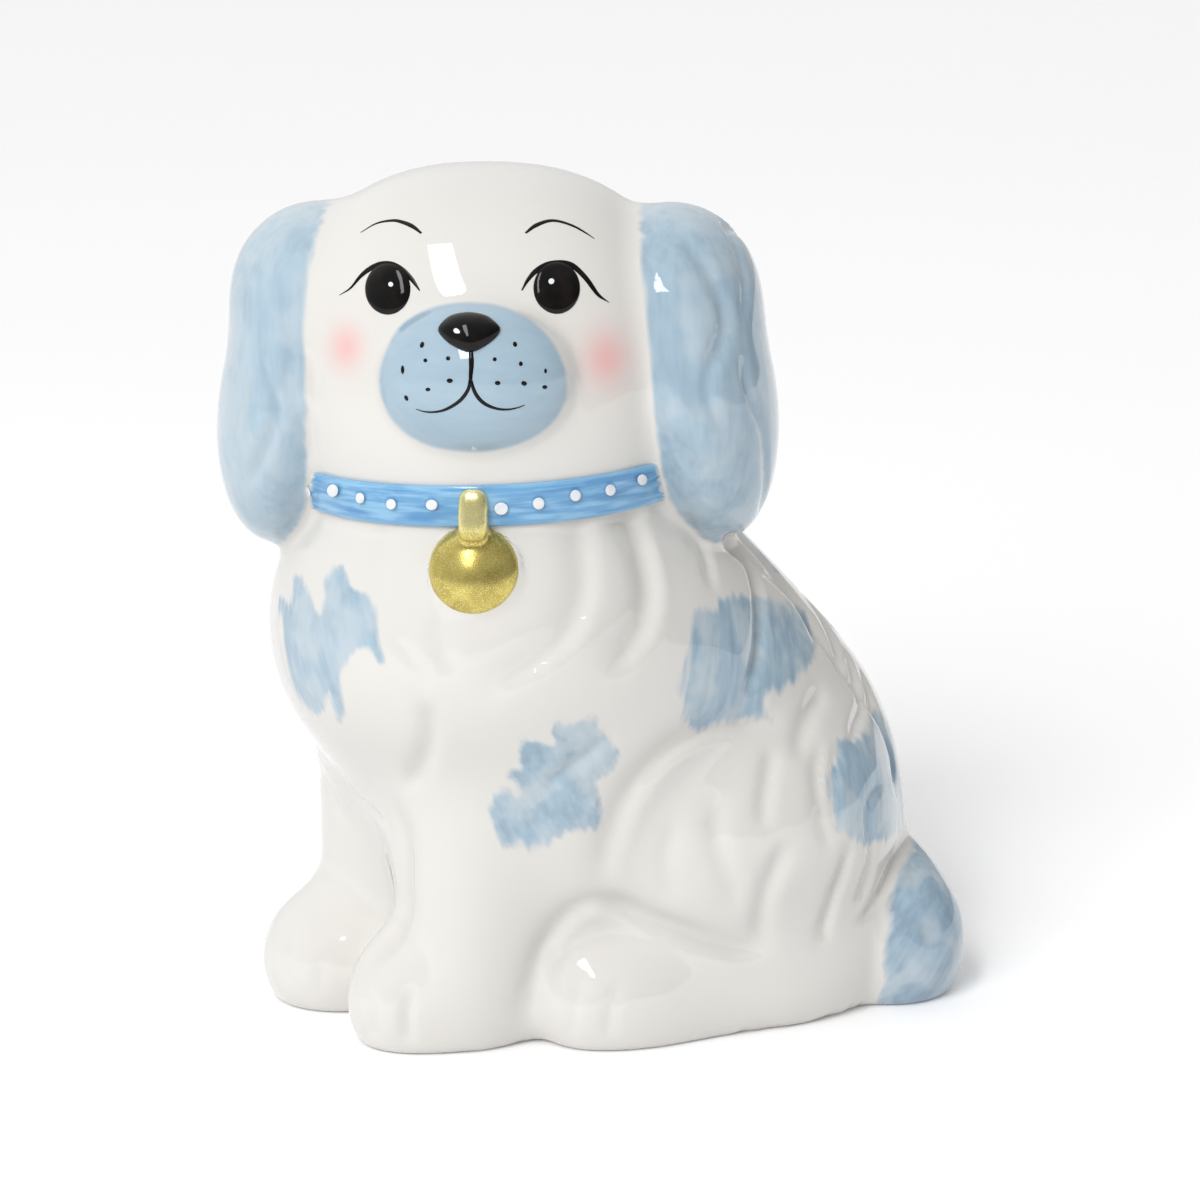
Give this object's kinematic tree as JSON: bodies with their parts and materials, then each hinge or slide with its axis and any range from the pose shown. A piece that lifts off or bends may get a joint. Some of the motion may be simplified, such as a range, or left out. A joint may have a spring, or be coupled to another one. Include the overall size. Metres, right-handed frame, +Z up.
{
  "type": "dog money bank",
  "caption": "Glazed ceramic money bank shaped as a seated spaniel, with long ears, collar, bell, coin slot in the back and a bung in the base.",
  "frame": {"origin": "centre of the bounding box at the height of the table", "axes": "+Z up, -Y the way the dog's chest and front paws face, +X the dog's left"},
  "size_m": [0.1088, 0.1546, 0.184],
  "materials": {
    "white_glaze": "clear gloss glaze on white earthenware",
    "pale_blue_glaze": "brushed pale blue under clear gloss",
    "collar_blue_glaze": "brushed mid blue under clear gloss, white dots",
    "black_glaze": "gloss black enamel",
    "gold_lustre": "brushed gold lustre",
    "bung_rubber": "matt translucent white"
  },
  "bodies": {
    "bank": {"body_shell": "white_glaze", "ear_left": "pale_blue_glaze", "ear_right": "pale_blue_glaze", "tail": "pale_blue_glaze", "muzzle": "pale_blue_glaze", "nose": "black_glaze", "eye_left": "black_glaze", "eye_right": "black_glaze", "collar": "collar_blue_glaze", "bell": "gold_lustre"},
    "bung": {"stopper": "bung_rubber"}
  },
  "joints": [
    {"name": "bung_pull", "type": "slide", "parent": "bank", "child": "bung", "axis": [0, 0, -1], "range_m": [0, 0.03]}
  ]
}
